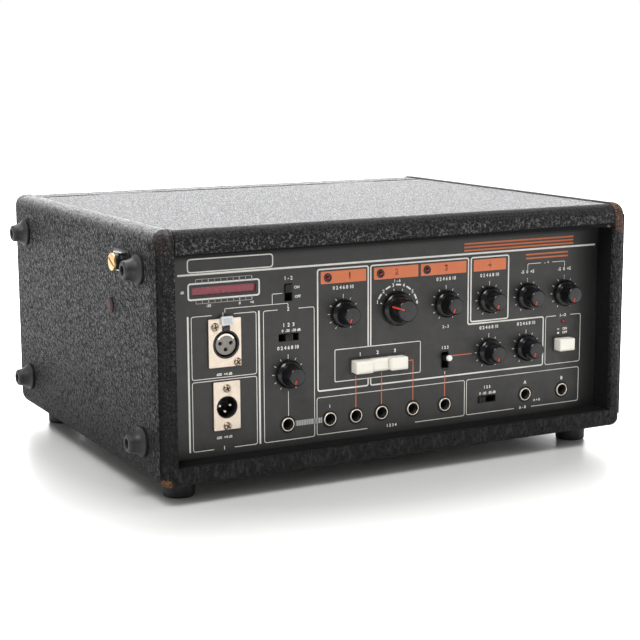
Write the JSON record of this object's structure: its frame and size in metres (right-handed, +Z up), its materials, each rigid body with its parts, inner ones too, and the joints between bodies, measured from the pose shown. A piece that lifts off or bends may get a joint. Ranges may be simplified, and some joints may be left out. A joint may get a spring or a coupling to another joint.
{
  "type": "tape echo unit",
  "caption": "Cloth-covered table-top tape echo with a recessed panel of rotary knobs, push buttons, jack and XLR sockets, a hinged lid over the tape deck, rubber feet and a side strap handle.",
  "frame": {"origin": "on the floor under the middle of the case, at the bottom of the feet", "axes": "+X to the right seen from the front, the control panel faces -Y, +Z up"},
  "size_m": [0.425, 0.326, 0.1951],
  "materials": {
    "covering": "black leather-grain cloth over board",
    "dark_steel": "satin black",
    "black_plastic": "moulded",
    "rubber": "matt",
    "dark_screw": "oxidised",
    "nickel": "plated",
    "black_metal": "black",
    "panel_paint": "dark grey anodised, screen printed",
    "red_acrylic": "tinted pane",
    "zinc": "zinc plated",
    "pale_nickel": "die cast, satin nickel",
    "grey_plastic": "moulded",
    "red_lens": "clear red",
    "tape": "brown oxide",
    "board": "phenolic",
    "brass": "turned",
    "strap": "ribbed",
    "white_tip": "white tip",
    "white_latch": "white",
    "knob": "glossy skirt, matt cap",
    "ivory": "aged ivory"
  },
  "bodies": {
    "case": {"side_panel_left": "covering", "side_panel_right": "covering", "bottom_board": "covering", "rear_rail": "covering", "rear_panel": "dark_steel", "power_fittings": "black_plastic", "rubber_feet": "rubber", "case_screws": "dark_screw", "handle_caps": "nickel", "lock_plate": "black_metal", "front_panel": "panel_paint", "meter_window": "red_acrylic", "meter_housing": "black_plastic", "potentiometers": "zinc", "panel_switches": "black_plastic", "xlr_socket": "pale_nickel", "xlr_insert": "grey_plastic", "xlr_plug": "pale_nickel", "connector_screws": "nickel", "jack_sockets": "nickel", "indicator_lamps": "red_lens", "chassis": "zinc", "deck_plate": "zinc", "tape_bin": "black_metal", "tape_loop": "tape", "head_block": "zinc", "tape_heads": "nickel", "drive_motor": "zinc", "drive_belt": "rubber", "solenoid": "black_metal", "main_board": "board", "power_transformer": "dark_steel", "reverb_tank": "zinc", "frame_hinges": "nickel"},
    "lid": {"top_lid": "covering", "lid_hinges": "nickel"},
    "lock": {"lock_screw": "brass"},
    "handle": {"strap_handle": "strap"},
    "input_volume": {"input_volume_knob": "knob"},
    "chorus_intensity": {"chorus_intensity_knob": "knob"},
    "echo_volume": {"echo_volume_knob": "knob"},
    "reverb_volume": {"reverb_volume_knob": "knob"},
    "bass": {"bass_knob": "knob"},
    "treble": {"treble_knob": "knob"},
    "echo_intensity": {"echo_intensity_knob": "knob"},
    "repeat_rate": {"repeat_rate_knob": "knob"},
    "mode": {"mode_knob": "knob"},
    "chorus_push": {"chorus_button": "ivory"},
    "echo_push": {"echo_button": "ivory"},
    "sound_push": {"sound_button": "ivory"},
    "power_push": {"power_button": "ivory"},
    "toggle": {"toggle_lever": "white_tip"},
    "direct": {"direct_slider": "black_plastic"},
    "input_level": {"input_level_slider": "black_plastic"},
    "output_level": {"output_level_slider": "black_plastic"},
    "latch": {"xlr_latch": "white_latch"},
    "capstan_drive": {"capstan": "zinc"},
    "motor_rotor": {"motor_pulley": "brass"},
    "pinch": {"pinch_arm": "zinc"},
    "roller": {"pinch_roller": "rubber"}
  },
  "joints": [
    {"name": "lid_hinge", "type": "hinge", "parent": "case", "child": "lid", "pos_m": [0, 0.1278, 0.1911], "axis": [-1, 0, 0], "range_deg": [0, 80]},
    {"name": "lock_turn", "type": "hinge", "parent": "case", "child": "lock", "pos_m": [-0.2, -0.103, 0.1681], "axis": [-1, 0, 0], "range_deg": [0, 90]},
    {"name": "handle_play", "type": "slide", "parent": "case", "child": "handle", "axis": [0, 1, 0], "range_m": [-0.003, 0.003]},
    {"name": "input_volume_turn", "type": "hinge", "parent": "case", "child": "input_volume", "pos_m": [-0.0912, -0.142, 0.0826], "axis": [0, 1, 0], "range_deg": [0, 300]},
    {"name": "chorus_intensity_turn", "type": "hinge", "parent": "case", "child": "chorus_intensity", "pos_m": [-0.0455, -0.142, 0.1235], "axis": [0, 1, 0], "range_deg": [0, 300]},
    {"name": "echo_volume_turn", "type": "hinge", "parent": "case", "child": "echo_volume", "pos_m": [0.0439, -0.142, 0.1235], "axis": [0, 1, 0], "range_deg": [0, 300]},
    {"name": "reverb_volume_turn", "type": "hinge", "parent": "case", "child": "reverb_volume", "pos_m": [0.0836, -0.142, 0.1235], "axis": [0, 1, 0], "range_deg": [0, 300]},
    {"name": "bass_turn", "type": "hinge", "parent": "case", "child": "bass", "pos_m": [0.1194, -0.142, 0.1235], "axis": [0, 1, 0], "range_deg": [0, 300]},
    {"name": "treble_turn", "type": "hinge", "parent": "case", "child": "treble", "pos_m": [0.1549, -0.142, 0.1235], "axis": [0, 1, 0], "range_deg": [0, 300]},
    {"name": "echo_intensity_turn", "type": "hinge", "parent": "case", "child": "echo_intensity", "pos_m": [0.0836, -0.142, 0.0826], "axis": [0, 1, 0], "range_deg": [0, 300]},
    {"name": "repeat_rate_turn", "type": "hinge", "parent": "case", "child": "repeat_rate", "pos_m": [0.1188, -0.142, 0.0826], "axis": [0, 1, 0], "range_deg": [0, 300]},
    {"name": "mode_turn", "type": "hinge", "parent": "case", "child": "mode", "pos_m": [0.0005, -0.142, 0.1235], "axis": [0, 1, 0], "range_deg": [0, 150]},
    {"name": "chorus_press", "type": "slide", "parent": "case", "child": "chorus_push", "axis": [0, 1, 0], "range_m": [0, 0.0045], "stiffness_N_per_m": 200, "springref_m": -0.001},
    {"name": "echo_press", "type": "slide", "parent": "case", "child": "echo_push", "axis": [0, 1, 0], "range_m": [-0.0035, 0.001], "stiffness_N_per_m": 200},
    {"name": "sound_press", "type": "slide", "parent": "case", "child": "sound_push", "axis": [0, 1, 0], "range_m": [0, 0.0045], "stiffness_N_per_m": 200, "springref_m": -0.001},
    {"name": "power_press", "type": "slide", "parent": "case", "child": "power_push", "axis": [0, 1, 0], "range_m": [0, 0.0045], "stiffness_N_per_m": 200, "springref_m": -0.001},
    {"name": "toggle_throw", "type": "hinge", "parent": "case", "child": "toggle", "pos_m": [0.0434, -0.133, 0.0798], "axis": [1, 0, 0], "range_deg": [0, 18]},
    {"name": "direct_slide", "type": "slide", "parent": "case", "child": "direct", "axis": [0, 0, -1], "range_m": [0, 0.0061]},
    {"name": "input_level_slide", "type": "slide", "parent": "case", "child": "input_level", "axis": [1, 0, 0], "range_m": [-0.00495, 0.00495]},
    {"name": "output_level_slide", "type": "slide", "parent": "case", "child": "output_level", "axis": [1, 0, 0], "range_m": [0, 0.0099]},
    {"name": "latch_press", "type": "slide", "parent": "case", "child": "latch", "axis": [0, 0, -1], "range_m": [0, 0.0015], "stiffness_N_per_m": 300, "springref_m": -0.001},
    {"name": "capstan_spin", "type": "hinge", "parent": "case", "child": "capstan_drive", "pos_m": [0.095, -0.036, 0.1326], "axis": [0, 0, 1], "continuous": true},
    {"name": "motor_spin", "type": "hinge", "parent": "case", "child": "motor_rotor", "pos_m": [0.01, 0.03, 0.1326], "axis": [0, 0, 1], "continuous": true},
    {"name": "pinch_swing", "type": "hinge", "parent": "case", "child": "pinch", "pos_m": [0.125, -0.06, 0.1356], "axis": [0, 0, -1], "range_deg": [0, 15]},
    {"name": "roller_spin", "type": "hinge", "parent": "pinch", "child": "roller", "pos_m": [0.09362, -0.0589, 0.1356], "axis": [0, 0, 1], "continuous": true}
  ],
  "couplings": [
    {"joint": "motor_spin", "follows": "capstan_spin", "ratio": 4.75}
  ]
}
